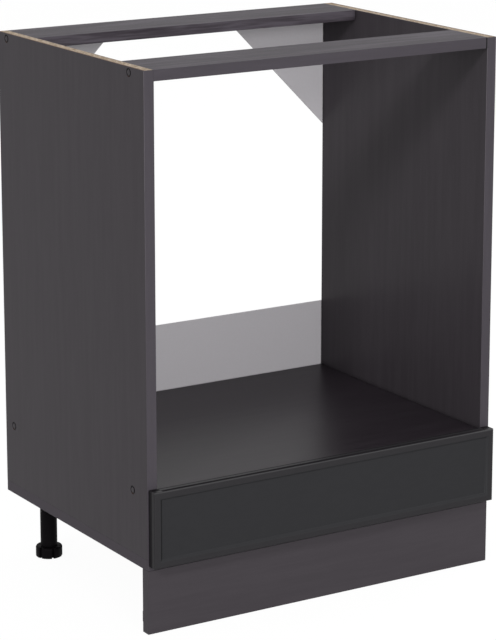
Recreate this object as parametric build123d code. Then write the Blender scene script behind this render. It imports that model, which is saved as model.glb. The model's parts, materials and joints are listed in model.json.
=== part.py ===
from build123d import *
import os
from collections import namedtuple
from math import sqrt

# Oven housing unit: a base cabinet with an open niche for a built-in oven,
# a shallow drawer under the oven shelf, a clip-on plinth and four screw feet.
# Millimetres. +X is to the right seen from the front, -Y is the front, +Z is up.
# The origin is on the floor, under the middle of the whole unit.

# Overall sizes
unit_width = 600.0
carcass_height = 720.0
carcass_depth = 440.0
leg_height = 96.0
board = 16.0
edge_band = 1.0
back_board = 3.0
front_board = 16.0
front_gap = 1.0
fit_gap = 0.3
hole_gap = 0.1

# Shelf, rails and the hardboard pieces on the back
drawer_bay_height = 86.0
shelf_setback = 3.0
rail_depth = 92.0
back_strip_rise = 108.5
back_inset_x = 2.0
back_inset_z = 1.0
brace_leg = 208.0

# Drawer front
front_side_inset = 2.0
front_under_bottom_top = 9.5
front_rise_over_shelf = 2.5
front_border = 9.5
field_depth = 3.0
field_corner = 2.0
front_arris = 2.5
grip_depth = 8.0
grip_height = 10.0
grip_end = 40.0

# Drawer box
drawer_rear_space = 41.0
drawer_head_room = 14.8
drawer_board = 12.0
drawer_lift = 13.2
groove_rise = 9.0
groove_depth = 6.0
groove_play = 0.1
groove_end_play = 0.5
drawer_arris = 1.0
front_screw_rise = 12.0
front_screw_inset = 54.0
box_screw_edge = 14.0

# Runners: a channel on the cabinet side and an angle on the drawer side
runner_space = 12.5
runner_steel = 1.2
runner_rear_space = 37.0
runner_front_inset = 3.0
runner_overlap = 100.0
angle_front_gap = 2.0
runner_lift = 10.0
channel_inside = 19.0
lip_gap = 1.1
flange_gap = 1.5
ride_height = 2.5
roller_end = 12.0
axle_radius = 2.5
axle_fit = 0.06
axle_head_radius = 4.0
axle_head = 0.8
roller_side_play = 0.4
head_clear = 0.5
stop_tab_height = 3.8
stop_tab_width = 6.0
stop_tab_inset = 1.0
runner_screw_front = 37.0
runner_screw_back = 46.0
runner_screw_step = 96.0
runner_screw_rise = 4.3

# Legs
leg_inset_x = 38.0
leg_behind_plinth = 26.0
leg_inset_back = 63.0
socket_radius = 24.0
socket_flange = 4.0
socket_plug = 18.0
tube_radius = 13.0
tube_wall = 2.0
foot_radius = 20.5
foot_height = 17.0
foot_stem = 40.0
foot_lobes = 6
foot_notch = 3.4
foot_notch_depth = 5.0
foot_chamfer = 1.5
foot_turn = -9.0

# Plinth
clip_plate = 3.0
clip_height = 18.0
clip_arm = 2.5
clip_under_socket = 14.0
clip_reach = 8.0
clip_screw_gap = 4.7
clip_edge = 4.5
clip_tip = 1.2

# Joint hardware between the boards
screw_front_inset = 42.0
screw_back_inset = 27.0
bottom_screw_inset = 60.0
rail_dowel_step = 32.0
cap_radius = 6.0
cap_depth = 1.2
cap_ring = 0.25
dowel_radius = 4.0
dowel_length = 30.0
dowel_in_face = 11.0
dowel_end_play = 0.5
buffer_radius = 4.0
buffer_inset = 6.0
buffer_low = 16.0
buffer_high = 26.0

# Screws, dowels and buffers have this many flats in place of a round outline, for few facets.
# A screw's own frame has the board's face at z = 0 and the screw's tip towards -z.
flats = 8
Screw = namedtuple("Screw", "head_radius head_low head_high shank_radius length")
confirmat = Screw(5.0, -3.2, 0.0, 3.5, 50.0)
box_screw = Screw(3.6, -2.0, 0.0, 2.0, 34.0)
front_screw = Screw(3.6, 0.0, 2.0, 2.0, 22.0)
runner_screw = Screw(3.0, 0.0, 1.1, 1.75, 11.0)
clip_screw = Screw(3.0, 0.0, 1.8, 1.75, 14.0)

# Planes that the pieces share
half_width = unit_width / 2
inner_x = half_width - board
unit_depth = front_board + front_gap + carcass_depth + back_board
front_y = -unit_depth / 2
carcass_front = front_y + front_board + front_gap
board_front = carcass_front + edge_band
carcass_back = carcass_front + carcass_depth
bottom_z = leg_height
bottom_top = bottom_z + board
shelf_z = bottom_top + drawer_bay_height
shelf_top = shelf_z + board
top_z = leg_height + carcass_height
rail_z = top_z - board
shelf_front = carcass_front + shelf_setback
front_top_z = shelf_top + front_rise_over_shelf
front_bottom_z = bottom_top - front_under_bottom_top

# Drawer and runner planes. The distance u runs inwards from the cabinet side's face.
drawer_half = inner_x - runner_space
drawer_front_y = front_y + front_board
drawer_back_y = carcass_back - drawer_rear_space
drawer_travel = drawer_back_y - drawer_front_y - runner_overlap
drawer_z = bottom_top + drawer_lift
drawer_top = shelf_z - drawer_head_room
channel_z = bottom_top + runner_lift
channel_floor = channel_z + runner_steel
channel_roof = channel_floor + channel_inside
channel_top = channel_roof + runner_steel
channel_front_y = carcass_front + runner_front_inset
channel_back_y = carcass_back - runner_rear_space
channel_lip = runner_space - runner_steel - lip_gap
roller_radius = channel_inside / 2 - fit_gap
roller_room = runner_space - 2 * runner_steel - runner_screw.head_high - head_clear
roller_width = roller_room - roller_side_play - fit_gap - axle_head
front_axle_y = channel_front_y + roller_end
front_axle_z = channel_roof + ride_height - roller_radius
flange_under = front_axle_z + roller_radius + fit_gap
rear_axle_y = drawer_back_y - roller_end
rear_axle_z = (channel_floor + channel_roof) / 2
runner_screw_z = drawer_z + runner_screw_rise
runner_screw_ys = [carcass_front + runner_screw_front, channel_back_y - runner_screw_back]
cabinet_screw_z = (channel_floor + channel_roof) / 2

# Leg places
plinth_back = carcass_front + board
leg_x = half_width - leg_inset_x
front_leg_y = plinth_back + leg_behind_plinth
rear_leg_y = carcass_back - leg_inset_back
leg_places = {
    "front_left": (-leg_x, front_leg_y),
    "front_right": (leg_x, front_leg_y),
    "rear_left": (-leg_x, rear_leg_y),
    "rear_right": (leg_x, rear_leg_y),
}
sides = {"left": -1, "right": 1}
flange_z = bottom_z - socket_flange
clip_top_z = flange_z - clip_under_socket
clip_screw_x = tube_radius + fit_gap + clip_arm + clip_screw_gap

# Joint places along the depth, shared by both side panels
screw_ys = [carcass_front + screw_front_inset, carcass_back - screw_back_inset]
rail_dowel_ys = [screw_ys[0] + rail_dowel_step, screw_ys[1] - rail_dowel_step]
shelf_dowel_ys = [screw_ys[0] + (screw_ys[1] - screw_ys[0]) * k / 3 for k in (1, 2)]
bottom_screw_ys = [carcass_front + bottom_screw_inset, carcass_back - bottom_screw_inset]
bottom_dowel_ys = [screw_ys[0] + (screw_ys[1] - screw_ys[0]) * k / 4 for k in (1, 3)]
shelf_mid_z = shelf_z + board / 2
rail_mid_z = rail_z + board / 2


def block(x0, x1, y0, y1, z0, z1):
    """A box between two corners, given in any order along X."""
    middle = Pos((x0 + x1) / 2, (y0 + y1) / 2, (z0 + z1) / 2)
    return middle * Box(abs(x1 - x0), y1 - y0, z1 - z0)


def turned(points):
    """A solid of revolution about Z from half of its outline, as (radius, height) points."""
    outline = Polyline(*[(r, 0, z) for r, z in points], close=True)
    return revolve(make_face(outline), axis=Axis.Z)


def prism(radius, z0, z1):
    """An upright bar with the regular outline of the small hardware."""
    return Pos(0, 0, z0) * extrude(RegularPolygon(radius, flats), amount=z1 - z0)


def screw(kind, grow=0.0):
    """A screw, or with grow the hole that it needs, which holds a head only where that is sunk."""
    shank_top = 0.0 if grow else kind.head_low
    shank = prism(kind.shank_radius + grow, -kind.length - grow, shank_top)
    if grow and kind.head_high > 0:
        return shank
    return shank + prism(kind.head_radius + grow, kind.head_low - grow, kind.head_high)


def aimed(shape, place, direction):
    """Puts a shape whose own axis is +Z at a place, along a direction."""
    return Plane(origin=place, z_dir=direction).location * shape


def dowel(grow=0.0, play=0.0):
    """A dowel, or with grow and play its hole, set across the joint between two boards."""
    low = -dowel_in_face - play
    high = dowel_length - dowel_in_face + play
    return prism(dowel_radius + grow, low, high)


def cut(shape, holes):
    """Takes a list of holes out of a shape."""
    for hole in holes:
        shape = shape - hole
    return shape


def group(shapes):
    """Separate solids that share one node."""
    return Compound(children=[s.solid() for s in shapes])


def side_screws(s, z_levels, grow=0.0):
    """Confirmat screws that come in from the outer face of a side panel."""
    head_x = s * (half_width - cap_depth)
    places = [(head_x, y, z) for z in z_levels for y in screw_ys]
    return [aimed(screw(confirmat, grow), p, (s, 0, 0)) for p in places]


def bottom_screws(s, grow=0.0):
    """Confirmat screws that come up through the bottom board into a side panel."""
    x = s * (half_width - board / 2)
    return [aimed(screw(confirmat, grow), (x, y, bottom_z), (0, 0, -1)) for y in bottom_screw_ys]


def side_dowels(s, grow=0.0, play=0.0):
    """Dowels between a side panel and the ends of the shelf and the rails."""
    places = [(s * inner_x, y, shelf_mid_z) for y in shelf_dowel_ys]
    places = places + [(s * inner_x, y, rail_mid_z) for y in rail_dowel_ys]
    return [aimed(dowel(grow, play), p, (-s, 0, 0)) for p in places]


def bottom_dowels(s, grow=0.0, play=0.0):
    """Dowels that stand up from the bottom board into a side panel."""
    x = s * (half_width - board / 2)
    return [aimed(dowel(grow, play), (x, y, bottom_top), (0, 0, 1)) for y in bottom_dowel_ys]


def cap_places(s):
    """The middles of the cover caps, on a side panel's outer face."""
    return [(s * half_width, y, z) for z in (shelf_mid_z, rail_mid_z) for y in screw_ys]


def cap_seats(s):
    """Shallow round seats for the cover caps, in the outer face."""
    seat = Pos(0, 0, -cap_depth / 2) * Cylinder(cap_radius + cap_ring, cap_depth)
    return [aimed(seat, p, (s, 0, 0)) for p in cap_places(s)]


def cover_cap():
    """A flat cap that closes a screw hole flush."""
    return Pos(0, 0, -cap_depth / 2) * Cylinder(cap_radius, cap_depth)


def side_panel(s):
    """A side panel that stands on the bottom board, with every hole that its fittings need."""
    panel = block(s * inner_x, s * half_width, board_front, carcass_back, bottom_top, top_z)
    holes = side_screws(s, (shelf_mid_z, rail_mid_z), hole_gap) + cap_seats(s)
    holes = holes + side_dowels(s, hole_gap, dowel_end_play)
    holes = holes + bottom_screws(s, hole_gap) + bottom_dowels(s, hole_gap, dowel_end_play)
    holes = holes + channel_screws(s, hole_gap)
    return cut(panel, holes)


def bottom_board():
    """The full-width bottom, which carries the sides and takes the leg sockets."""
    panel = block(-half_width, half_width, board_front, carcass_back, bottom_z, bottom_top)
    holes = []
    for s in sides.values():
        holes = holes + bottom_screws(s, hole_gap) + bottom_dowels(s, hole_gap, dowel_end_play)
    return cut(panel, holes)


def cross_board(y0, y1, z0):
    """A board that runs between the side panels, with the holes in its ends."""
    panel = block(-inner_x, inner_x, y0, y1, z0, z0 + board)
    holes = []
    for s in sides.values():
        holes = holes + side_screws(s, (shelf_mid_z, rail_mid_z), hole_gap)
        holes = holes + side_dowels(s, hole_gap, dowel_end_play)
    return cut(panel, [h for h in holes if reaches(h, y0, y1, z0)])


def reaches(hole, y0, y1, z0):
    """Whether a hole's middle lies in a cross board that starts at z0."""
    middle = hole.bounding_box().center()
    return y0 < middle.Y < y1 and z0 < middle.Z < z0 + board


def back_strip():
    """The low hardboard back behind the drawer bay, fixed onto the board edges."""
    x = half_width - back_inset_x
    z0 = bottom_z + back_inset_z
    return block(-x, x, carcass_back, carcass_back + back_board, z0, shelf_top + back_strip_rise)


def corner_brace(s):
    """A right-angled hardboard triangle that squares an upper rear corner."""
    x = s * (half_width - back_inset_x)
    z = top_z - back_inset_z
    corners = [(x, z), (x - s * brace_leg, z), (x, z - brace_leg)]
    outline = Polyline(*[(px, carcass_back, pz) for px, pz in corners], close=True)
    return extrude(make_face(outline), amount=back_board, dir=(0, 1, 0))


def edge_strip(x0, x1, y0, z0, z1):
    """A strip of edge band on the front of a board."""
    return block(x0, x1, y0, y0 + edge_band, z0, z1)


def sheet(points, s, y0, y1):
    """Bent sheet steel that runs along Y. The points are (u, z) of its mid-line."""
    plane = Plane(origin=(s * inner_x, y0, 0), x_dir=(-s, 0, 0), z_dir=(0, s, 0))
    line = FilletPolyline(*points, radius=runner_steel)
    face = plane * trace(line, line_width=runner_steel)
    return extrude(face, amount=y1 - y0, dir=(0, 1, 0))


def cabinet_runner(s):
    """The cabinet's channel: the drawer's rear roller runs in it, and it carries the front roller."""
    half = runner_steel / 2
    lip_start = front_axle_y + roller_end
    low = [(channel_lip, channel_z + half), (half, channel_z + half), (half, channel_top)]
    full = [(channel_lip, channel_z + half), (half, channel_z + half), (half, channel_top - half)]
    full = full + [(channel_lip, channel_top - half)]
    runner = sheet(low, s, channel_front_y, lip_start) + sheet(full, s, lip_start, channel_back_y)
    reach = roller_radius + fit_gap
    drop = rear_axle_z - channel_floor - stop_tab_height
    tab_y = rear_axle_y - drawer_travel - sqrt(reach**2 - drop**2)
    tab_x = [s * (inner_x - channel_lip + stop_tab_inset + k * stop_tab_width) for k in (0, 1)]
    tab_top = channel_floor + stop_tab_height
    runner = runner + block(tab_x[0], tab_x[1], tab_y - runner_steel, tab_y, channel_z + half, tab_top)
    return cut(runner, channel_screws(s, hole_gap))


def channel_screws(s, grow=0.0):
    """Screws through the channel's web into the cabinet side."""
    x = s * (inner_x - runner_steel)
    ys = runner_screw_ys + [runner_screw_ys[-1] - runner_screw_step]
    places = [(x, y, cabinet_screw_z) for y in ys]
    return [aimed(screw(runner_screw, grow), p, (-s, 0, 0)) for p in places]


def drawer_runner(s):
    """The drawer's angle: a foot under the drawer side and a flange that rides on the front roller."""
    half = runner_steel / 2
    web = runner_space - half
    profile = [
        (runner_space + drawer_board, drawer_z - half),
        (web, drawer_z - half),
        (web, flange_under + half),
        (flange_gap, flange_under + half),
    ]
    runner = sheet(profile, s, drawer_front_y + angle_front_gap, drawer_back_y)
    return cut(runner, drawer_runner_screws(s, hole_gap))


def drawer_runner_screws(s, grow=0.0):
    """Screws through the angle's web into the drawer side."""
    x = s * (inner_x - runner_space + runner_steel)
    places = [(x, y, runner_screw_z) for y in runner_screw_ys]
    return [aimed(screw(runner_screw, grow), p, (s, 0, 0)) for p in places]


def axle_and_roller(s, on_drawer):
    """A riveted axle and its roller, on the channel's web or on the drawer angle's web."""
    y = rear_axle_y if on_drawer else front_axle_y
    z = rear_axle_z if on_drawer else front_axle_z
    root_u = runner_space - runner_steel if on_drawer else runner_steel
    way = s if on_drawer else -s
    near = roller_side_play
    far = near + roller_width
    head_start = far + fit_gap
    head_end = head_start + axle_head
    head = [(axle_head_radius, head_start), (axle_head_radius, head_end), (0, head_end)]
    axle = turned([(0, 0), (axle_radius, 0), (axle_radius, head_start)] + head)
    bore = axle_radius + axle_fit
    roller = turned([(bore, near), (roller_radius, near), (roller_radius, far), (bore, far)])
    place = (s * (inner_x - root_u), y, z)
    return aimed(axle, place, (way, 0, 0)), aimed(roller, place, (way, 0, 0))


def drawer_front():
    """The profiled front: a framed field, soft front edges and a finger rebate under its bottom edge."""
    x = half_width - front_side_inset
    panel = block(-x, x, front_y, drawer_front_y, front_bottom_z, front_top_z)
    panel = fillet(panel.faces().sort_by(Axis.Y)[0].edges(), front_arris)
    grip_x = x - grip_end
    grip_y = drawer_front_y - grip_depth
    grip = block(-grip_x, grip_x, grip_y, drawer_front_y, front_bottom_z, front_bottom_z + grip_height)
    field_w = 2 * (x - front_border)
    field_h = front_top_z - front_bottom_z - 2 * front_border
    plane = Plane(origin=(0, front_y, (front_bottom_z + front_top_z) / 2), x_dir=(1, 0, 0), z_dir=(0, -1, 0))
    field = extrude(plane * RectangleRounded(field_w, field_h, field_corner), amount=-field_depth)
    return cut(panel, [field, grip] + front_screws(hole_gap))


def front_screws(grow=0.0):
    """Pan-head screws from inside the drawer box into the front."""
    y = drawer_front_y + drawer_board
    z = (drawer_z + drawer_top) / 2 + front_screw_rise
    x = drawer_half - front_screw_inset
    places = [(x * k / 3, y, z) for k in (-3, -1, 1, 3)]
    return [aimed(screw(front_screw, grow), p, (0, 1, 0)) for p in places]


def box_screws(s, grow=0.0):
    """Countersunk screws through a drawer side into the inner front and the back."""
    ys = [drawer_front_y + drawer_board / 2, drawer_back_y - drawer_board / 2]
    places = [(s * drawer_half, y, drawer_top - box_screw_edge) for y in ys]
    return [aimed(screw(box_screw, grow), p, (s, 0, 0)) for p in places]


def drawer_bottom(play=0.0):
    """The hardboard bottom, or with play the groove that takes it."""
    reach = groove_depth if play else groove_depth - groove_end_play
    x = drawer_half - drawer_board + reach
    y0 = drawer_front_y + drawer_board - reach
    y1 = drawer_back_y - drawer_board + reach
    z0 = drawer_z + groove_rise
    return block(-x, x, y0, y1, z0 - play, z0 + back_board + play)


def drawer_side(s):
    """A drawer side, grooved for the bottom, with soft outer edges that clear the runner's bend."""
    x0 = s * (drawer_half - drawer_board)
    panel = block(x0, s * drawer_half, drawer_front_y, drawer_back_y, drawer_z, drawer_top)
    outer = panel.faces().sort_by(Axis.X)[-1 if s > 0 else 0]
    panel = chamfer(outer.edges().filter_by(Axis.Y), drawer_arris)
    holes = [drawer_bottom(groove_play)] + box_screws(s, hole_gap) + drawer_runner_screws(s, hole_gap)
    return cut(panel, holes)


def drawer_cross(y0, holes):
    """The inner front or the back of the drawer box, between its sides."""
    x = drawer_half - drawer_board
    panel = block(-x, x, y0, y0 + drawer_board, drawer_z, drawer_top)
    holes = holes + [drawer_bottom(groove_play)]
    return cut(panel, holes + box_screws(-1, hole_gap) + box_screws(1, hole_gap))


def drawer_buffers():
    """Thin round buffers on the front's back face, where it meets the carcass edges."""
    thick = front_gap - fit_gap
    x = half_width - front_side_inset - buffer_inset - buffer_radius
    zs = [front_bottom_z + buffer_low, front_top_z - buffer_high]
    pad = prism(buffer_radius, 0, thick)
    return group([aimed(pad, (s * x, drawer_front_y, z), (0, 1, 0)) for s in sides.values() for z in zs])


def leg_socket(place):
    """A round flange under the bottom board, with a plug for the leg tube."""
    plug = tube_radius - tube_wall - hole_gap
    flange = [(0, bottom_z), (socket_radius, bottom_z), (socket_radius, flange_z), (plug, flange_z)]
    points = flange + [(plug, flange_z - socket_plug), (0, flange_z - socket_plug)]
    return Pos(place[0], place[1], 0) * turned(points)


def leg_tube(place):
    """The plain round tube of a leg, pushed onto the socket's plug."""
    low = foot_height + fit_gap
    bore = tube_radius - tube_wall
    tube = turned([(bore, low), (tube_radius, low), (tube_radius, flange_z), (bore, flange_z)])
    return Pos(place[0], place[1], 0) * tube


def screw_foot(place):
    """The lobed foot and its stem, which screws up into the tube."""
    stem = tube_radius - tube_wall - fit_gap
    top = foot_height + foot_stem
    c = foot_chamfer
    pad = [(0, 0), (foot_radius - c, 0), (foot_radius, c), (foot_radius, foot_height - c)]
    foot = turned(pad + [(foot_radius - c, foot_height), (stem, foot_height), (stem, top), (0, top)])
    pitch = 360 / foot_lobes
    depth = 2 * foot_notch_depth
    notch = Pos(foot_radius, 0, foot_height / 2) * Box(depth, foot_notch, foot_height)
    turn = foot_turn if place[0] < 0 else -foot_turn
    notches = [Rot(0, 0, turn + pitch * (k + 0.5)) * notch for k in range(foot_lobes)]
    return Pos(place[0], place[1], 0) * cut(foot, notches)


def plinth_clip(s):
    """A two-armed fork that slides onto a front leg tube."""
    x = s * leg_x
    inner = tube_radius + fit_gap
    half = clip_screw_x + clip_edge
    z0 = clip_top_z - clip_height
    plate_y = plinth_back + clip_plate
    clip = block(x - half, x + half, plinth_back, plate_y, z0, clip_top_z)
    for side in (-1, 1):
        arm_x = x + side * inner
        clip = clip + block(arm_x, arm_x + side * clip_arm, plate_y, front_leg_y + clip_reach, z0, clip_top_z)
    tips = clip.faces().sort_by(Axis.Y)[-2:].edges().filter_by(Axis.Z)
    clip = fillet(tips, clip_tip)
    return cut(clip, clip_screws(s, hole_gap))


def clip_screws(s, grow=0.0):
    """Pan-head screws through a clip's plate into the plinth panel."""
    y = plinth_back + clip_plate
    z = clip_top_z - clip_height / 2
    places = [(s * leg_x + d, y, z) for d in (-clip_screw_x, clip_screw_x)]
    return [aimed(screw(clip_screw, grow), p, (0, 1, 0)) for p in places]


def plinth_panel():
    """The plinth board, on the floor and just under the carcass."""
    panel = block(-half_width, half_width, carcass_front, plinth_back, 0, bottom_z - fit_gap)
    return cut(panel, clip_screws(-1, hole_gap) + clip_screws(1, hole_gap))


def all_parts():
    """Every node's shape, under the node's name."""
    parts = {}
    parts["bottom_board"] = bottom_board()
    parts["oven_shelf"] = cross_board(shelf_front + edge_band, carcass_back, shelf_z)
    parts["front_top_rail"] = cross_board(board_front, carcass_front + rail_depth, rail_z)
    parts["rear_top_rail"] = cross_board(carcass_back - rail_depth, carcass_back, rail_z)
    parts["back_strip"] = back_strip()
    parts["bottom_edge_band"] = edge_strip(-half_width, half_width, carcass_front, bottom_z, bottom_top)
    parts["shelf_edge_band"] = edge_strip(-inner_x, inner_x, shelf_front, shelf_z, shelf_top)
    parts["top_rail_edge_band"] = edge_strip(-inner_x, inner_x, carcass_front, rail_z, top_z)
    front_axles = []
    rear_axles = []
    for name, s in sides.items():
        parts[name + "_side_panel"] = side_panel(s)
        parts[name + "_edge_band"] = edge_strip(s * inner_x, s * half_width, carcass_front, bottom_top, top_z)
        parts[name + "_corner_brace"] = corner_brace(s)
        parts[name + "_cabinet_runner"] = cabinet_runner(s)
        parts[name + "_drawer_runner"] = drawer_runner(s)
        parts["drawer_" + name + "_side"] = drawer_side(s)
        parts[name + "_plinth_clip"] = plinth_clip(s)
        front_axle, parts[name + "_front_roller"] = axle_and_roller(s, False)
        rear_axle, parts[name + "_rear_roller"] = axle_and_roller(s, True)
        front_axles.append(front_axle)
        rear_axles.append(rear_axle)
    parts["front_roller_axles"] = group(front_axles)
    parts["rear_roller_axles"] = group(rear_axles)
    both = list(sides.values())
    parts["rail_screws"] = group([p for s in both for p in side_screws(s, (rail_mid_z,))])
    parts["shelf_screws"] = group([p for s in both for p in side_screws(s, (shelf_mid_z,))])
    parts["bottom_screws"] = group([p for s in both for p in bottom_screws(s)])
    parts["board_dowels"] = group([p for s in both for p in side_dowels(s) + bottom_dowels(s)])
    parts["screw_cover_caps"] = group([aimed(cover_cap(), p, (s, 0, 0)) for s in both for p in cap_places(s)])
    parts["cabinet_runner_screws"] = group([p for s in both for p in channel_screws(s)])
    parts["drawer_runner_screws"] = group([p for s in both for p in drawer_runner_screws(s)])
    parts["drawer_front"] = drawer_front()
    parts["drawer_inner_front"] = drawer_cross(drawer_front_y, front_screws(hole_gap))
    parts["drawer_back"] = drawer_cross(drawer_back_y - drawer_board, [])
    parts["drawer_bottom"] = drawer_bottom()
    parts["drawer_front_screws"] = group(front_screws())
    parts["drawer_box_screws"] = group([p for s in both for p in box_screws(s)])
    parts["drawer_buffers"] = drawer_buffers()
    parts["plinth_panel"] = plinth_panel()
    parts["plinth_clip_screws"] = group([p for s in both for p in clip_screws(s)])
    for name, place in leg_places.items():
        parts[name + "_leg_socket"] = leg_socket(place)
        parts[name + "_leg_tube"] = leg_tube(place)
        parts[name + "_screw_foot"] = screw_foot(place)
    return parts


os.makedirs("parts", exist_ok=True)
for node, shape in all_parts().items():
    export_step(shape, f"parts/{node}.step")
print(len(os.listdir("parts")), "files")
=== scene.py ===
# Oven housing unit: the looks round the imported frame.
# Metres, +Z up, -Y the front, +X to the right seen from the front.
import json
import math

import bmesh
import bpy
from mathutils import Matrix, Vector


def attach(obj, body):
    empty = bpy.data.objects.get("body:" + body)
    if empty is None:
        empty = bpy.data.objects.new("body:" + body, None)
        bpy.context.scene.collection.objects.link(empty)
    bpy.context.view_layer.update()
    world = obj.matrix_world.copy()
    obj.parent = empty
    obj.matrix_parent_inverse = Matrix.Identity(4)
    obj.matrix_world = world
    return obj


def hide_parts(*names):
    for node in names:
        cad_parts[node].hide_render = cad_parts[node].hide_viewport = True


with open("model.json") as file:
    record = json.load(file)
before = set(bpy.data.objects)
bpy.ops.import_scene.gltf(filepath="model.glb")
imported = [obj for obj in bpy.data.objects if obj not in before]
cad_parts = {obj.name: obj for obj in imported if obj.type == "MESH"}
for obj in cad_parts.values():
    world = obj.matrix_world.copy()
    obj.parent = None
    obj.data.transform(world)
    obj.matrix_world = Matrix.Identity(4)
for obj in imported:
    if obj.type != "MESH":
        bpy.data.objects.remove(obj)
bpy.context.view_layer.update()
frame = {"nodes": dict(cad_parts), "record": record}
nodes = frame["nodes"]
# Where the legs stand, from the middle of the unit
legs = {
    "front_left": (-0.262, -0.171),
    "front_right": (0.262, -0.171),
    "rear_left": (-0.262, 0.164),
    "rear_right": (0.262, 0.164),
}
black = (0.0, 0.0, 0.0, 1.0)
white = (1.0, 1.0, 1.0, 1.0)
back = Vector((0.0, 1.0, 0.0))
down = Vector((0.0, 0.0, -1.0))
print("frame:", len(nodes), "nodes")


class Link:
    # an output socket, so that shader maths reads as plain sums
    def __init__(self, paint, socket):
        self.paint = paint
        self.socket = socket

    def __add__(self, other):
        return self.paint.maths("ADD", self, other)

    def __radd__(self, other):
        return self.paint.maths("ADD", other, self)

    def __sub__(self, other):
        return self.paint.maths("SUBTRACT", self, other)

    def __rsub__(self, other):
        return self.paint.maths("SUBTRACT", other, self)

    def __mul__(self, other):
        return self.paint.maths("MULTIPLY", self, other)

    def __rmul__(self, other):
        return self.paint.maths("MULTIPLY", other, self)

    def __gt__(self, other):
        return self.paint.maths("GREATER_THAN", self, other)

    def __lt__(self, other):
        return self.paint.maths("LESS_THAN", self, other)

    def __abs__(self):
        return self.paint.maths("ABSOLUTE", self)


class Paint:
    # one material, or the world, and the nodes in it
    def __init__(self, name, world=None):
        self.holder = world or bpy.data.materials.new(name)
        self.holder.use_nodes = True
        self.tree = self.holder.node_tree
        self.tree.nodes.clear()

    def node(self, kind, settings=None, inputs=None, out=0):
        made = self.tree.nodes.new(kind)
        for key, value in (settings or {}).items():
            if key == "stops":
                setStops(made.color_ramp.elements, value)
            else:
                setattr(made, key, value)
        for key, value in (inputs or {}).items():
            if isinstance(value, Link):
                self.tree.links.new(value.socket, made.inputs[key])
            else:
                made.inputs[key].default_value = value
        return Link(self, made.outputs[out]) if made.outputs else None

    def maths(self, operation, *values):
        return self.node("ShaderNodeMath", {"operation": operation}, dict(enumerate(values)))

    def most(self, a, b):
        return self.maths("MAXIMUM", a, b)

    def place(self):
        return self.node("ShaderNodeTexCoord", out="Object")

    def at(self, axis):
        # how far along one axis of the unit, in metres
        return self.node("ShaderNodeSeparateXYZ", inputs={0: self.place()}, out=axis)

    def facing(self, axis):
        # 1 where the surface looks along this axis of the unit, -1 where it looks back
        normal = self.node("ShaderNodeTexCoord", out="Normal")
        return self.node("ShaderNodeSeparateXYZ", inputs={0: normal}, out=axis)

    def backdropSeen(self):
        # 1 for what shows the backdrop, straight, mirrored or through something clear;
        # 0 for light on the object
        camera, glossy, clear = [self.node("ShaderNodeLightPath", out="Is %s Ray" % ray)
                                 for ray in ("Camera", "Glossy", "Transmission")]
        return self.most(camera, self.most(glossy, clear))

    def ramp(self, share, places, colours):
        stops = list(zip(places, colours))
        return self.node("ShaderNodeValToRGB", {"stops": stops}, {0: share})

    def noise(self, scale, stretch=(1, 1, 1), detail=2.0, shift=0.0):
        # a cloudy value about 0.5; different shifts keep noises from falling on each other
        placed = self.node("ShaderNodeMapping", inputs={
            "Vector": self.place(), "Scale": stretch, "Location": (shift, shift, shift)})
        return self.node("ShaderNodeTexNoise", inputs={
            "Vector": placed, "Scale": scale, "Detail": detail})

    def mix(self, share, a, b):
        # 6 and 7 are this node's two colours, and 2 is the mixed one
        return self.node("ShaderNodeMix", {"data_type": "RGBA"}, {0: share, 6: a, 7: b}, 2)

    def darken(self, colour, share):
        return self.mix(share, colour, black)

    def step(self, value, low, high):
        # a smooth rise from 0 to 1 between two values
        return self.node("ShaderNodeMapRange", {"interpolation_type": "SMOOTHSTEP"},
                         {0: value, 1: low, 2: high})

    def bump(self, height, strength, distance):
        return self.node("ShaderNodeBump", inputs={
            "Height": height, "Strength": strength, "Distance": distance})

    def paintedCornerShade(self, reach):
        # painted shade: 0 in the open, rising to 1 down in a corner, where shade falls
        seen = self.node("ShaderNodeAmbientOcclusion", {"samples": crease["samples"]},
                         {"Distance": reach}, "AO")
        return 1 - self.step(seen, crease["shut"], crease["open"])

    def finish(self, inputs):
        shader = self.node("ShaderNodeBsdfPrincipled", inputs=inputs)
        self.node("ShaderNodeOutputMaterial", inputs={"Surface": shader})
        return self.holder


def setStops(elements, stops):
    while len(elements) < len(stops):
        elements.new(0.5)
    for element, (place, colour) in zip(elements, stops):
        element.position = place
        element.color = colour


def tone(*screen):
    # red, green and blue on the screen, 0 to 255, as the linear colour that shaders take
    shares = [value / 255 for value in screen]
    linear = [v / 12.92 if v <= 0.04045 else ((v + 0.055) / 1.055) ** 2.4 for v in shares]
    return (*linear, 1.0)


def drawnOut(along, share):
    # the stretch that draws a noise out along one axis, further with a smaller share
    return [share if axis == along else 1.0 for axis in "XYZ"]


def varied(level, cloud, spread):
    # a level that a noise raises and lowers by up to half the spread
    return level + (cloud - 0.5) * spread


# For the painted corner shade: how open to the light a corner is where the shade is full, and
# where it ends
crease = {"samples": 6, "shut": 0.35, "open": 0.8}
# How far a surface turns towards an axis before a paint takes it to face that way
tilt = {"aslant": 0.3, "partly": 0.5, "mostly": 0.7, "squarely": 0.9, "level": 0.95}
# Where a print or a fibre turns from its dark to its light colour
darkToLight = (0.3, 0.7)
# The wood print: two noises drawn out along the board, the share of the wide one,
# and where a board's dark, own and light colours stand on it
woodPrint = {
    "wide": 90,
    "thin": 420,
    "drawnOut": 0.06,
    "wideShare": 0.65,
    "places": (0.4, 0.5, 0.6),
}
# The fine pores along the print
pores = {
    "scale": 1500,
    "drawnOut": 0.04,
    "from": 0.35,
    "to": 0.6,
    "height": 0.5,
    "strength": 0.35,
}
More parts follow.
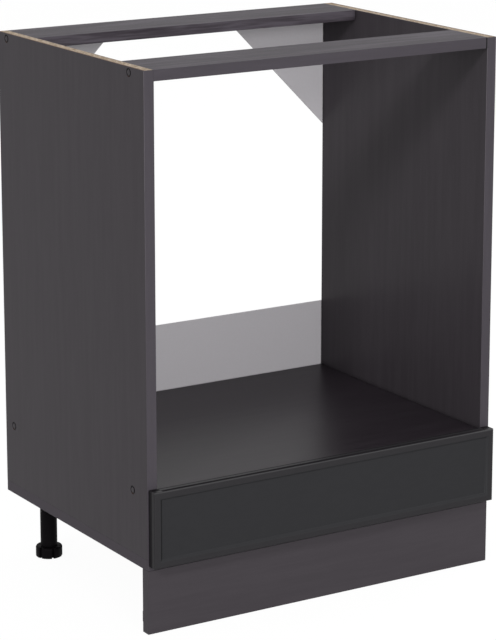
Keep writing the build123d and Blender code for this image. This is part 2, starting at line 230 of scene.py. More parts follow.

# The melamine-faced boards of the carcass: rails and bottom, sides, and the shelf, whose darker
# copy of the colour is painted shade inside the niche
board = {
    "colour": tone(67, 62, 68),
    "grainDark": tone(54, 49, 55),
    "grainLight": tone(82, 77, 84),
    "gloss": 0.08,
    "roughness": 0.52,
    "sheenVaries": 0.15,
    "poreDepth": 0.00012,
}
side = {
    "colour": tone(61, 57, 61),
    "grainDark": tone(59, 55, 59),
    "grainLight": tone(63, 59, 63),
    "gloss": 0.06,
    "roughness": 0.34,
    "sheenVaries": 0.06,
    "poreDepth": 0.00005,
}
# painted shade: the shelf is the boards' melamine, darkened for the shade inside the niche
shelf = {
    "colour": tone(41, 36, 41),
    "grainDark": tone(38, 33, 38),
    "grainLight": tone(44, 39, 44),
    "gloss": 0.1,
    "roughness": 0.35,
    "sheenVaries": 0.15,
    "poreDepth": 0.00005,
}
# How far from a corner the painted shade on boards reaches, and how much darker it is deep in it
corner = {"reach": 0.012, "shade": 0.55}
# The chips that a sawn edge shows, with the facing chipped brown along its outer arris
sawnEdge = {
    "dark": tone(118, 98, 76),
    "mid": tone(166, 149, 130),
    "light": tone(200, 184, 166),
    "places": (0.15, 0.45, 0.8),
    "chipScale": 420.0,
    "fleckScale": 900,
    "chipShare": 0.6,
    "rougher": 0.4,
    "arris": tone(84, 52, 30),
    "arrisWidth": 0.0034,
    "ragged": 0.0016,
    "skin": 0.0012,
    "halfWidth": 0.3,
    "wall": 0.016,
}


def streaks(paint, along, fine=1.0):
    # wood-print streaks drawn out along one axis of the unit
    stretch = drawnOut(along, woodPrint["drawnOut"])
    wide = paint.noise(woodPrint["wide"] * fine, stretch, 3.0)
    thin = paint.noise(woodPrint["thin"] * fine, stretch, shift=3.0)
    return wide * woodPrint["wideShare"] + thin * (1 - woodPrint["wideShare"])


def chipboard(paint):
    # pressed wood chips, as a sawn edge shows them
    cells = paint.node("ShaderNodeTexVoronoi", out="Color", inputs={
        "Vector": paint.place(), "Scale": sawnEdge["chipScale"]})
    chip = paint.node("ShaderNodeSeparateColor", inputs={0: cells})
    fleck = paint.noise(sawnEdge["fleckScale"], detail=3.0, shift=5.0)
    return chip * sawnEdge["chipShare"] + fleck * (1 - sawnEdge["chipShare"])


def boardPaint(name, along, look=board, sawnTop=False):
    paint = Paint(name)
    grain = streaks(paint, along)
    if along == "X":
        # the ends show the plain colour, which stands at the print's middle
        end = abs(paint.facing("X")) > tilt["mostly"]
        grain = grain * (1 - end) + end * woodPrint["places"][1]
    face = paint.ramp(grain, woodPrint["places"],
                      [look["grainDark"], look["colour"], look["grainLight"]])
    chips = chipboard(paint)
    raw = paint.ramp(chips, sawnEdge["places"],
                     [sawnEdge["dark"], sawnEdge["mid"], sawnEdge["light"]])
    sawn = paint.facing("Y") > tilt["mostly"]
    if sawnTop:
        across = abs(paint.at("X"))
        inner = sawnEdge["halfWidth"] - sawnEdge["wall"] + sawnEdge["skin"]
        outer = sawnEdge["halfWidth"] - sawnEdge["skin"] * 0.5
        sawn = paint.most(sawn, paint.facing("Z") > tilt["mostly"])
        sawn = sawn * (across > inner) * (across < outer)
        ragged = across + (chips - 0.5) * sawnEdge["ragged"]
        chipped = paint.step(ragged, outer - sawnEdge["arrisWidth"], outer)
        raw = paint.mix(chipped, raw, sawnEdge["arris"])
    pitted = paint.noise(pores["scale"], drawnOut(along, pores["drawnOut"]), shift=9.0)
    pitted = paint.step(pitted, pores["from"], pores["to"])
    height = pitted * (1 - sawn) * pores["height"] + chips * sawn
    # painted shade in the corners between boards
    shaded = paint.darken(face, paint.paintedCornerShade(corner["reach"]) * corner["shade"])
    sheen = varied(look["roughness"], grain, look["sheenVaries"])
    return paint.finish({
        "Base Color": paint.mix(sawn, shaded, raw),
        "Roughness": sheen + sawn * sawnEdge["rougher"],
        "Normal": paint.bump(height, pores["strength"], look["poreDepth"]),
        "Specular IOR Level": look["gloss"],
    })


sidePaint = boardPaint("side board", "Z", side, sawnTop=True)
crossPaint = boardPaint("cross board", "X")
shelfPaint = boardPaint("shelf board", "X", shelf)


# The 1 mm band glued on the boards' front edges: the upright ones get a painted highlight on their
# narrow edges, stronger towards the top, and the level ones get a painted shade line at the joint
# before the right side
band = {
    "colour": tone(63, 59, 64),
    "light": tone(75, 71, 77),
    "fine": 1.6,
    "paintedHighlight": tone(100, 96, 101),
    "paintedHighlightHeights": (0.2, 0.75),
    "paintedGapShade": (0.2816, 0.2842),
    "paintedGapShadeAbove": 0.15,
    "gapShade": 0.95,
    "cornerReach": 0.002,
    "cornerShade": 0.8,
    "gloss": 0.1,
    "roughness": 0.4,
    "sheenVaries": 0.2,
    "bump": (0.2, 0.0001),
}


def bandPaint(name, along):
    paint = Paint(name)
    grain = streaks(paint, along, band["fine"])
    face = paint.mix(grain, band["colour"], band["light"])
    if along == "Z":
        # painted highlight on the narrow edges, stronger towards the top
        paintedHighlight = abs(paint.facing("X")) > tilt["aslant"]
        paintedHighlight = paintedHighlight * paint.step(paint.at("Z"), *band["paintedHighlightHeights"])
        face = paint.mix(paintedHighlight, face, band["paintedHighlight"])
    else:
        # painted shade of the joint before the right side
        across = paint.at("X")
        paintedGapShade = (across > band["paintedGapShade"][0]) * (across < band["paintedGapShade"][1])
        paintedGapShade = paintedGapShade * (paint.at("Z") > band["paintedGapShadeAbove"])
        face = paint.darken(face, paintedGapShade * band["gapShade"])
    # painted shade in the corners at the band's edges
    shade = paint.paintedCornerShade(band["cornerReach"]) * band["cornerShade"]
    return paint.finish({
        "Base Color": paint.darken(face, shade),
        "Roughness": varied(band["roughness"], grain, band["sheenVaries"]),
        "Normal": paint.bump(grain, *band["bump"]),
        "Specular IOR Level": band["gloss"],
    })


uprightBandPaint = bandPaint("upright band", "Z")
levelBandPaint = bandPaint("level band", "X")


# The hardboard strip and corner braces: painted inside, raw fibre on the wall side
hardboard = {
    "paint": tone(190, 187, 191),
    "paintLow": tone(183, 180, 184),
    "fibre": tone(128, 96, 66),
    "fibreDark": tone(100, 72, 48),
    "cloudScale": 260,
    "cloudHeight": 0.5,
    "fibreScale": 1600,
    "fibreDrawnOut": 0.35,
    "cornerReach": 0.003,
    "roughness": 0.62,
    "fibreRougher": 0.25,
    "sheenVaries": 0.1,
    "gloss": 0.3,
    "bump": (0.3, 0.0002),
}


def hardboardPaint():
    paint = Paint("grey hardboard")
    rear = paint.facing("Y") > tilt["partly"]
    cloud = paint.noise(hardboard["cloudScale"], detail=4.0)
    fibre = paint.noise(hardboard["fibreScale"], drawnOut("X", hardboard["fibreDrawnOut"]),
                        3.0, 2.0)
    lacquer = paint.mix(cloud, hardboard["paintLow"], hardboard["paint"])
    # painted shade in the corners
    lacquer = paint.darken(lacquer, paint.paintedCornerShade(hardboard["cornerReach"]) * corner["shade"])
    brown = paint.mix(paint.step(fibre, *darkToLight), hardboard["fibreDark"],
                      hardboard["fibre"])
    rough = hardboard["roughness"] + rear * hardboard["fibreRougher"]
    return paint.finish({
        "Base Color": paint.mix(rear, lacquer, brown),
        "Roughness": varied(rough, cloud, hardboard["sheenVaries"]),
        "Normal": paint.bump(cloud * hardboard["cloudHeight"] + fibre * rear,
                             *hardboard["bump"]),
        "Specular IOR Level": hardboard["gloss"],
    })


# The drawer front: a field inside a border, with painted shade: darker end faces with black rear
# halves, and a matt dark line before and behind its flat top; a glint on the arris before them
front = {
    "border": tone(48, 47, 49),
    "end": tone(43, 42, 44),
    "field": tone(47, 47, 49),
    "wall": tone(49, 49, 51),
    "shadedTopWall": tone(38, 38, 40),
    "shadedWall": tone(20, 20, 22),
    "paintedBackShade": tone(21, 19, 22),
    "topShadeLine": tone(33, 31, 34),
    "fieldPlane": -0.2285,
    "backPlane": -0.2221,
    "topShadeLinePlanes": (-0.2225, -0.2162),
    "endFrom": 0.2835,
    "glint": 0.7,
    "cloudScale": 160,
    "cloudDrawnOut": 0.3,
    "cloudShade": 0.12,
    "wallCloudShade": 0.1,
    "fineScale": 2200,
    "gloss": 0.06,
    "roughness": 0.38,
    "sheenVaries": 0.12,
    "backRougher": 0.2,
    "lineRougher": 0.6,
    "bump": (0.12, 0.0001),
}


def frontNoises(paint):
    cloud = paint.noise(front["cloudScale"], drawnOut("X", front["cloudDrawnOut"]), 3.0)
    return cloud, paint.noise(front["fineScale"], shift=4.0)


def frontPaint():
    paint = Paint("drawer front")
    cloud, fine = frontNoises(paint)
    depth = paint.at("Y")
    facing = paint.facing("Y")
    upward = paint.facing("Z")
    atEnd = abs(paint.at("X")) > front["endFrom"]
    inField = (depth > front["fieldPlane"]) * (facing < -tilt["squarely"])
    # painted shade: the rear halves of the ends are black, for the shade of the gap behind the
    # front
    behind = (depth > front["backPlane"]) * (abs(facing) < tilt["partly"]) * atEnd
    # painted shade: a dark line before and behind the flat top
    first, last = front["topShadeLinePlanes"]
    onShadeLine = paint.most(depth < first, depth > last)
    onShadeLine = onShadeLine * (upward > tilt["level"]) * (1 - atEnd)
    onArris = (upward > tilt["aslant"]) * (upward < tilt["level"])
    # painted shade: the end faces take a darker copy of the border's colour
    onEnd = abs(paint.facing("X")) > tilt["squarely"]
    colour = paint.mix(onEnd, front["border"], front["end"])
    colour = paint.mix(inField, colour, front["field"])
    colour = paint.darken(colour, front["cloudShade"] * cloud)
    colour = paint.mix(onShadeLine, colour, front["topShadeLine"])
    sheen = varied(front["roughness"], cloud, front["sheenVaries"])
    return paint.finish({
        "Base Color": paint.mix(behind, colour, front["paintedBackShade"]),
        "Roughness": sheen + behind * front["backRougher"] + onShadeLine * front["lineRougher"],
        "Coat Weight": onArris * front["glint"],
        "Normal": paint.bump(fine, *front["bump"]),
        "Specular IOR Level": front["gloss"],
    })


def wallPaint():
    # the sloped walls of the field, with painted shade: the top one darker, and the left one
    # darkest
    paint = Paint("field wall")
    cloud, fine = frontNoises(paint)
    onTop = paint.facing("Z") < -tilt["aslant"]
    onLeft = paint.facing("X") > tilt["aslant"]
    colour = paint.mix(onTop, front["wall"], front["shadedTopWall"])
    colour = paint.mix(onLeft, colour, front["shadedWall"])
    return paint.finish({
        "Base Color": paint.darken(colour, front["wallCloudShade"] * cloud),
        "Roughness": varied(front["roughness"], cloud, front["sheenVaries"]),
        "Normal": paint.bump(fine, *front["bump"]),
        "Specular IOR Level": front["gloss"],
    })


# Boards with a plain print: the plinth, and the drawer box with its bottom
plainBoards = {
    "plinth board": {
        "dark": tone(63, 59, 63), "light": tone(67, 63, 67),
        "gloss": 0.08, "roughness": 0.46, "bump": (0.3, 0.00006),
    },
    "drawer board": {
        "dark": tone(195, 195, 193), "light": tone(203, 203, 201),
        "gloss": 0.4, "roughness": 0.5, "bump": (0.25, 0.00015),
    },
    "drawer bottom board": {
        "dark": tone(180, 180, 178), "light": tone(196, 196, 194),
        "gloss": 0.4, "roughness": 0.5, "bump": (0.25, 0.00015),
    },
}
plainSheenVaries = 0.15


def plainPaint(kind, along, name=None):
    look = plainBoards[kind]
    paint = Paint(name or kind)
    grain = streaks(paint, along)
    return paint.finish({
        "Base Color": paint.mix(paint.step(grain, *darkToLight), look["dark"], look["light"]),
        "Roughness": varied(look["roughness"], grain, plainSheenVaries),
        "Normal": paint.bump(grain, *look["bump"]),
        "Specular IOR Level": look["gloss"],
    })


# Powder-coated runners
runner = {
    "colour": tone(206, 206, 203),
    "peelScale": 1300,
    "cloudScale": 40,
    "cloudShade": 0.06,
    "roughness": 0.36,
    "sheenVaries": 0.1,
    "coat": 0.2,
    "coatVaries": 0.1,
    "gloss": 0.5,
    "bump": (0.25, 0.00012),
}


def runnerPaint():
    paint = Paint("runner coat")
    peel = paint.noise(runner["peelScale"])
    cloud = paint.noise(runner["cloudScale"], shift=6.0)
    return paint.finish({
        "Base Color": paint.darken(runner["colour"], runner["cloudShade"] * cloud),
        "Roughness": varied(runner["roughness"], peel, runner["sheenVaries"]),
        "Normal": paint.bump(peel, *runner["bump"]),
        "Coat Weight": runner["coat"] + runner["coatVaries"] * cloud,
        "Specular IOR Level": runner["gloss"],
    })


# Zinc plating on screws, nails and axles
zinc = {
    "bright": tone(196, 199, 200),
    "dull": tone(160, 163, 160),
    "dullToBright": (0.35, 0.65),
    "cloudScale": 700,
    "fineScale": 5200,
    "roughness": 0.32,
    "sheenVaries": 0.2,
    "bump": (0.15, 0.00005),
}


def zincPaint():
    paint = Paint("zinc plating")
    cloud = paint.noise(zinc["cloudScale"], detail=3.0)
    fine = paint.noise(zinc["fineScale"], shift=2.0)
    patches = paint.step(cloud, *zinc["dullToBright"])
    return paint.finish({
        "Base Color": paint.mix(patches, zinc["dull"], zinc["bright"]),
        "Metallic": 1.0,
        "Roughness": varied(zinc["roughness"], cloud, zinc["sheenVaries"]),
        "Normal": paint.bump(fine, *zinc["bump"]),
    })


# Plain moulded and rubbery pieces share one recipe
plastics = {
    "cap plastic": {
        "colour": tone(56, 53, 56), "light": tone(61, 58, 61),
        "gloss": 0.08, "roughness": 0.45, "scale": 2600, "depth": 0.00006,
    },
    "roller nylon": {
        "colour": tone(222, 221, 214), "light": tone(232, 231, 226),
        "gloss": 0.45, "roughness": 0.3, "scale": 900, "depth": 0.00004,
    },
    "leg plastic": {
        "colour": tone(12, 10, 12), "light": tone(16, 14, 16),
        "gloss": 0.03, "roughness": 0.5, "scale": 2400, "depth": 0.00012,
    },
    "clip plastic": {
        "colour": tone(20, 19, 20), "light": tone(27, 26, 27),
        "gloss": 0.15, "roughness": 0.45, "scale": 2400, "depth": 0.00012,
    },
    "soft buffer": {
        "colour": tone(206, 206, 200), "light": tone(216, 216, 210),
        "gloss": 0.45, "roughness": 0.25, "scale": 600, "depth": 0.00004,
    },
}
moulded = {"cloudScale": 90, "sheenVaries": 0.15, "strength": 0.3}


def mouldedFinish(paint, look, grit, colour):
    return paint.finish({
        "Base Color": colour,
        "Roughness": varied(look["roughness"], grit, moulded["sheenVaries"]),
        "Normal": paint.bump(grit, moulded["strength"], look["depth"]),
        "Specular IOR Level": look["gloss"],
    })


def plasticPaint(name):
    look = plastics[name]
    paint = Paint(name)
    grit = paint.noise(look["scale"])
    cloud = paint.noise(moulded["cloudScale"], shift=3.0)
    return mouldedFinish(paint, look, grit, paint.mix(cloud, look["colour"], look["light"]))


# Beech dowels
beech = {
    "colour": tone(196, 158, 112),
    "dark": tone(170, 128, 84),
    "scale": 900,
    "drawnOut": 0.08,
    "roughness": 0.6,
    "sheenVaries": 0.2,
    "bump": (0.3, 0.0002),
}


def beechPaint():
    paint = Paint("beech")
    grain = paint.noise(beech["scale"], drawnOut("X", beech["drawnOut"]), 3.0)
    return paint.finish({
        "Base Color": paint.mix(paint.step(grain, *darkToLight), beech["dark"],
                                beech["colour"]),
        "Roughness": varied(beech["roughness"], grain, beech["sheenVaries"]),
        "Normal": paint.bump(grain, *beech["bump"]),
    })


# Which finish each material slot of the record gets, and the pieces with one of their own
finishes = {
    "carcass_board": crossPaint,
    "edge_band": levelBandPaint,
    "grey_hardboard": hardboardPaint(),
    "front_board": frontPaint(),
    "plinth_board": plainPaint("plinth board", "X"),
    "drawer_board": plainPaint("drawer board", "Y"),
    "drawer_hardboard": plainPaint("drawer bottom board", "X"),
    "runner_steel": runnerPaint(),
    "zinc_steel": zincPaint(),
    "beech": beechPaint(),
    "cap_plastic": plasticPaint("cap plastic"),
    "roller_plastic": plasticPaint("roller nylon"),
    "leg_plastic": plasticPaint("leg plastic"),
    "clip_plastic": plasticPaint("clip plastic"),
    "soft_buffer": plasticPaint("soft buffer"),
}
crosswise = plainPaint("drawer board", "X", "drawer cross board")
ownFinish = {
    "left_side_panel": sidePaint,
    "right_side_panel": sidePaint,
    "oven_shelf": shelfPaint,
    "left_edge_band": uprightBandPaint,
    "right_edge_band": uprightBandPaint,
    "drawer_inner_front": crosswise,
    "drawer_back": crosswise,
}
slotOf = {part["node"]: part["material_slot"] for part in frame["record"]["subparts"]}
for name, piece in nodes.items():
    piece.data.materials.clear()
    piece.data.materials.append(ownFinish.get(name, finishes[slotOf[name]]))
print("materials:", len(bpy.data.materials))


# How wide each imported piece's sharp edges are rounded, by its material slot
rounding = {
    "widths": {
        "carcass_board": 0.0005,
        "edge_band": 0.0004,
        "grey_hardboard": 0.0002,
        "front_board": 0.0003,
        "plinth_board": 0.0006,
        "drawer_board": 0.0005,
        "runner_steel": 0.0002,
        "roller_plastic": 0.0006,
        "leg_plastic": 0.0005,
        "clip_plastic": 0.0004,
        "cap_plastic": 0.0002,
    },
    "cutCorners": ["carcass_board"],
    "segments": 2,
    "sharpFrom": math.radians(35),
    "flatWithin": math.radians(1),
    "weld": 0.00001,
    "evenWeight": 100,
}


def soften(piece, slot):
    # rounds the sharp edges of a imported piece; its own mesh stays as it is.
    # Cut corners keep the boards, with their many holes, from bulging out at a corner
    custom = piece.data.attributes.get("custom_normal")
    if custom:
        piece.data.attributes.remove(custom)
    piece.data.polygons.foreach_set("use_smooth", [True] * len(piece.data.polygons))
    weld = piece.modifiers.new("weld", "WELD")
    weld.merge_threshold = rounding["weld"]
    flat = piece.modifiers.new("flat", "DECIMATE")
    flat.decimate_type = "DISSOLVE"
    flat.angle_limit = rounding["flatWithin"]
    bevel = piece.modifiers.new("soften", "BEVEL")
    bevel.width = rounding["widths"][slot]
    bevel.segments = rounding["segments"]
    bevel.vmesh_method = "CUTOFF" if slot in rounding["cutCorners"] else "ADJ"
    bevel.limit_method = "ANGLE"
    bevel.angle_limit = rounding["sharpFrom"]
    even = piece.modifiers.new("even", "WEIGHTED_NORMAL")
    even.weight = rounding["evenWeight"]


for name, piece in nodes.items():
    if slotOf[name] in rounding["widths"]:
        soften(piece, slotOf[name])
print("edges softened")


# Shapes that every detailed piece is made with
millimetre = 0.001
sharpFrom = math.radians(34)
samePointWithin = 0.000001
headTurn = 0.9
# A driver's cross recess: its reach as a share of the flat top's radius, its depth of the
# head's height, its arm's half width of the reach, and its floor's size of its mouth's
recess = {"reach": 0.78, "depth": 0.75, "arm": 0.2, "floor": 0.45}
# A thread's ridge: its root as a share of the core, half its foot and half its crest as
# shares of the pitch, and the share of its height that it has at its two ends
ridge = {"root": 0.96, "foot": 0.36, "crest": 0.08, "start": 0.15}


def circle(radius, height, count=24):
    turns = [2 * math.pi * k / count for k in range(count)]
    return [(radius * math.cos(t), radius * math.sin(t), height) for t in turns]


def skin(bm, loops):
    # joins loops of points one after the other; a loop of one point closes an end
    rings = [[bm.verts.new(point) for point in loop] for loop in loops]
    for low, high in zip(rings, rings[1:]):
        for k in range(max(len(low), len(high))):
            corners = []
            for ring, at in ((low, k), (low, k + 1), (high, k + 1), (high, k)):
                if ring[at % len(ring)] not in corners:
                    corners.append(ring[at % len(ring)])
            bm.faces.new(corners)
    return rings


def edgesRound(bm, ring):
    return [bm.edges.get((a, b)) for a, b in zip(ring, ring[1:] + ring[:1])]


def crossSlot(bm, rim, reach, depth):
    # closes the flat top inside a rim, with a tapered cross recess for the driver
    top = rim[0].co.z
    arm = reach * recess["arm"]
    mouth = []
    for k in range(4):
        turn = Matrix.Rotation(k * math.pi / 2, 3, "Z")
        mouth += [turn @ Vector((x, y, top)) for x, y in ((reach, -arm), (reach, arm), (arm, arm))]
    floor = [(x * recess["floor"], y * recess["floor"], top - depth) for x, y, z in mouth]
    rings = skin(bm, [mouth, floor])
    bm.faces.new(rings[1])
    rims = edgesRound(bm, rim) + edgesRound(bm, rings[0])
    bmesh.ops.triangle_fill(bm, use_beauty=True, edges=rims)


def thread(bm, core, crest, pitch, low, high, steps):
    # a ridge wound round the Z axis, thinning out at both ends
    count = int((high - low) / pitch * steps)
    root = core * ridge["root"]
    wound = []
    for k in range(count + 1):
        grow = min(1.0, ridge["start"] + min(k, count - k) / steps)
        height = low + (high - low) * k / count
        turn = Matrix.Rotation(2 * math.pi * k / steps, 3, "Z")
        out = core + (crest - core) * grow
        section = ((root, -ridge["foot"]), (out, -ridge["crest"]),
                   (out, ridge["crest"]), (root, ridge["foot"]))
        wound.append([turn @ Vector((r, 0.0, height + h * pitch)) for r, h in section])
    rings = skin(bm, wound)
    bm.faces.new(rings[0])
    bm.faces.new(rings[-1])


def tidyMesh(bm, name):
    # a smooth mesh with its sharp edges kept
    bmesh.ops.recalc_face_normals(bm, faces=bm.faces)
    mesh = bpy.data.meshes.new(name)
    bm.to_mesh(mesh)
    bm.free()
    mesh.polygons.foreach_set("use_smooth", [True] * len(mesh.polygons))
    mesh.set_sharp_from_angle(angle=sharpFrom)
    return mesh


def copies(pattern, places, name):
    # one mesh that holds a copy of the pattern at each place
    bm = bmesh.new()
    for place in places:
        first = len(bm.verts)
        bm.from_mesh(pattern)
        bm.verts.ensure_lookup_table()
        bmesh.ops.transform(bm, matrix=place, verts=bm.verts[first:])
    return tidyMesh(bm, name)


def addPiece(name, mesh, slot, body, replaced=(), paint=None, place=None):
    # a new piece on its body, in its finish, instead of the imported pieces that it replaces
    if not mesh.materials:
        mesh.materials.append(paint or finishes[slot])
    piece = bpy.data.objects.new(name, mesh)
    bpy.context.collection.objects.link(piece)
    if place:
        piece.matrix_world = place
    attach(piece, body)
    if replaced:
        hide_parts(*replaced)


def solids(name):
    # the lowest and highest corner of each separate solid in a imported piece
    bm = bmesh.new()
    bm.from_mesh(nodes[name].data)
    bmesh.ops.remove_doubles(bm, verts=bm.verts, dist=samePointWithin)
    seen = set()
    boxes = []
    for start in bm.verts:
        if start in seen:
            continue
        seen.add(start)
        found = [start]
        for vert in found:
            for edge in vert.link_edges:
                other = edge.other_vert(vert)
                if other not in seen:
                    seen.add(other)
                    found.append(other)
        low = Vector([min(v.co[k] for v in found) for k in range(3)])
        high = Vector([max(v.co[k] for v in found) for k in range(3)])
        boxes.append((low, high))
    bm.free()
    return boxes


def seated(top, way, turn):
    # where a fastener goes: the middle of its head's top, and the way that the head looks
    looking = way.to_track_quat("Z", "Y").to_matrix().to_4x4()
    return Matrix.Translation(top) @ looking @ Matrix.Rotation(turn, 4, "Z")


def headPlaces(name, looks):
    # a place for each solid of a packed group of fasteners, each turned further than the last
    places = []
    for k, (low, high) in enumerate(solids(name)):
        middle = (low + high) / 2
        hand = math.copysign(1.0, middle.x)
        way = {"out": Vector((hand, 0.0, 0.0)), "in": Vector((-hand, 0.0, 0.0)),
               "back": back, "down": down}[looks]
        top = middle + way * abs((high - low).dot(way)) / 2
        places.append(seated(top, way, headTurn * k))
    return places


# The sloped moulding between the drawer front's border and its field
moulding = {
    "halfWidth": 0.2885,
    "low": 0.112,
    "high": 0.207,
    "profile": [(0.0, -0.22985), (0.0005, -0.2297), (0.0028, -0.2279), (0.0039, -0.2271),
                (0.0045, -0.22697)],
    "behind": -0.2268,
}


def fieldMoulding():
    def frameAt(inset, y):
        x = moulding["halfWidth"] - inset
        low, high = moulding["low"] + inset, moulding["high"] - inset
        return [(-x, y, low), (x, y, low), (x, y, high), (-x, y, high)]

    last = moulding["profile"][-1][0]
    behind = [(last, moulding["behind"]), (0.0, moulding["behind"])]
    bm = bmesh.new()
    rings = skin(bm, [frameAt(inset, y) for inset, y in moulding["profile"] + behind])
    for k in range(4):
        n = (k + 1) % 4
        bm.faces.new((rings[-1][k], rings[-1][n], rings[0][n], rings[0][k]))
    return tidyMesh(bm, "field moulding")


addPiece("front_field_moulding", fieldMoulding(), "front_board", "drawer", paint=wallPaint())
print("moulding made")


# Cover caps: a raised round face inside a sunken sloping rim. The rim plane is how far
# from the unit's middle its shade ends
cap = {
    "radius": 0.006,
    "thick": 0.0012,
    "backRound": (0.95, 0.9),
    "face": 0.0041,
    "faceArris": 0.0001,
    "rimInner": 0.0007,
    "rimOuter": 0.001,
    "rimGap": 0.0002,
    "rimPlane": 0.29985,
    "rimShade": tone(18, 16, 19),
    "corners": 40,
}


def capPaint():
    look = plastics["cap plastic"]
    paint = Paint("cover cap")
    grit = paint.noise(look["scale"])
    # painted shade in the sunken rim round each cap's face
    rim = abs(paint.at("X")) < cap["rimPlane"]
    face = paint.mix(grit, look["colour"], look["light"])
    return mouldedFinish(paint, look, grit, paint.mix(rim, face, cap["rimShade"]))


def capMesh():
    profile = [
        (cap["radius"] * cap["backRound"][0], -cap["thick"]),
        (cap["radius"], -cap["thick"] * cap["backRound"][1]),
        (cap["radius"], -cap["rimOuter"]),
        (cap["face"] + cap["rimGap"], -cap["rimInner"]),
        (cap["face"] + cap["faceArris"], -cap["faceArris"]),
        (cap["face"] - cap["faceArris"], 0.0),
    ]
    loops = [circle(radius, height, cap["corners"]) for radius, height in profile]
    bm = bmesh.new()
    skin(bm, [[(0.0, 0.0, -cap["thick"])]] + loops + [[(0.0, 0.0, 0.0)]])
    return tidyMesh(bm, "cap pattern")


capCopies = copies(capMesh(), headPlaces("screw_cover_caps", "out"), "cover caps")
addPiece("cover_caps", capCopies, "cap_plastic", "carcass", ["screw_cover_caps"], capPaint())
print("cover caps made")


# Screws: which way their heads look, and in millimetres the head's radius and height,
# the shank's radius, the length and the thread's pitch
screws = {
    "drawer_front_screws": {
        "body": "drawer", "looks": "back", "sunk": False, "size": (3.6, 2.0, 2.0, 24.0, 1.8),
    },
    "drawer_box_screws": {
        "body": "drawer", "looks": "out", "sunk": True, "size": (3.6, 2.0, 2.0, 34.0, 1.8),
    },
    "drawer_runner_screws": {
        "body": "drawer", "looks": "out", "sunk": False, "size": (3.0, 1.1, 1.75, 12.1, 1.6),
    },
    "cabinet_runner_screws": {
        "body": "carcass", "looks": "in", "sunk": False, "size": (3.0, 1.1, 1.75, 12.1, 1.6),
    },
    "plinth_clip_screws": {
        "body": "plinth", "looks": "back", "sunk": False, "size": (3.0, 1.8, 1.75, 15.8, 1.6),
    },
    "bottom_screws": {
        "body": "carcass", "looks": "down", "sunk": True, "size": (5.0, 3.2, 3.5, 50.0, 3.2),
    },
    "rail_screws": {
        "body": "carcass", "looks": "out", "sunk": True, "size": (5.0, 3.2, 3.5, 50.0, 3.2),
    },
    "shelf_screws": {
        "body": "carcass", "looks": "out", "sunk": True, "size": (5.0, 3.2, 3.5, 50.0, 3.2),
    },
}
# Four more screws hold each leg's flange, in a ring round the leg
flangeScrew = {"count": 4, "size": (2.7, 1.6, 1.6, 15.0, 1.5), "ring": 0.0188, "height": 0.092}
# A screw's outline, as shares of its head's radius and height, or of its shank's radius
screwShape = {
    "panHead": [(0.66, 0.0), (0.88, 0.2), (0.985, 0.5), (1.0, 0.85), (0.96, 1.0)],
    "panNeck": 0.9,
    "sunkTop": 0.95,
    "sunkRim": 0.00025,
    "sunkNeck": (0.98, 1.1),
    "core": 0.74,
    "coreFrom": 1.3,
    "point": (0.2, 1.6),
    "threadTo": 1.8,
    "threadGap": 0.5,
    "steps": 12,
}


def screwMesh(size, sunk):
    head, high, shank, length, pitch = [v * millimetre for v in size]
    core = shank * screwShape["core"]
    if sunk:
        neck, neckDown = screwShape["sunkNeck"]
        outline = [(head * screwShape["sunkTop"], 0.0), (head, -screwShape["sunkRim"]),
                   (shank, -high), (shank * neck, -high * neckDown)]
    else:
        outline = [(head * r, -high * h) for r, h in screwShape["panHead"]]
        outline.append((shank * screwShape["panNeck"], -high))
    tip, taper = screwShape["point"]
    outline += [(core, -high * screwShape["coreFrom"]), (core, -length + shank * taper),
                (core * tip, -length)]
    bm = bmesh.new()
    loops = [circle(radius, height) for radius, height in outline]
    rings = skin(bm, loops + [[(0.0, 0.0, -length)]])
    crossSlot(bm, rings[0], outline[0][0] * recess["reach"], high * recess["depth"])
    low = -length + shank * screwShape["threadTo"]
    top = -high * screwShape["coreFrom"] - pitch * screwShape["threadGap"]
    thread(bm, core, shank, pitch, low, top, screwShape["steps"])
    return tidyMesh(bm, "screw pattern")


for name, kind in screws.items():
    group = copies(screwMesh(kind["size"], kind["sunk"]), headPlaces(name, kind["looks"]), name)
    addPiece("cross_" + name, group, "zinc_steel", kind["body"], [name])

underFlange = []
for x, y in legs.values():
    for k in range(flangeScrew["count"]):
        turn = math.pi / 4 + k * 2 * math.pi / flangeScrew["count"]
        spot = Vector((x, y, flangeScrew["height"] - flangeScrew["size"][1] * millimetre))
        spot += Vector((math.cos(turn), math.sin(turn), 0.0)) * flangeScrew["ring"]
        underFlange.append(seated(spot, down, turn))
group = copies(screwMesh(flangeScrew["size"], False), underFlange, "leg flange screws")
addPiece("leg_flange_screws", group, "zinc_steel", "carcass")
print("screws made:", sum(len(solids(name)) for name in screws) + len(underFlange))


# Nails that hold the hardboard: their heads sit in small dents in its back
nail = {
    "head": 0.0023,
    "top": 0.00012,
    "dome": (0.8, 0.0002),
    "rim": (0.0003, 0.00055),
    "shank": 0.0008,
    "neck": 0.0007,
    "point": 0.002,
    "length": 0.014,
    "dent": 0.0006,
    "dentFloor": 0.9,
    "dentMouth": 1.25,
    "dentAbove": 0.0004,
    "corners": 20,
    "back": 0.23,
    "strip": [(s * 0.292, z) for s in (-1, 1) for z in (0.14, 0.25, 0.31)]
    + [(x, 0.104) for x in (-0.21, -0.07, 0.07, 0.21)]
    + [(x, 0.206) for x in (-0.292, -0.14, 0.0, 0.14, 0.292)],
    "braces": [(s * 0.292, z) for s in (-1, 1) for z in (0.65, 0.73, 0.79)]
    + [(s * x, 0.808) for s in (-1, 1) for x in (0.13, 0.2, 0.265)],
}


def turned(name, profile):
    # a round pattern from its top's middle, through its profile, to its foot's middle
    loops = [circle(radius, height, nail["corners"]) for radius, height in profile[1:-1]]
    ends = [[(0.0, 0.0, height)] for radius, height in (profile[0], profile[-1])]
    bm = bmesh.new()
    skin(bm, ends[:1] + loops + ends[1:])
    return tidyMesh(bm, name)


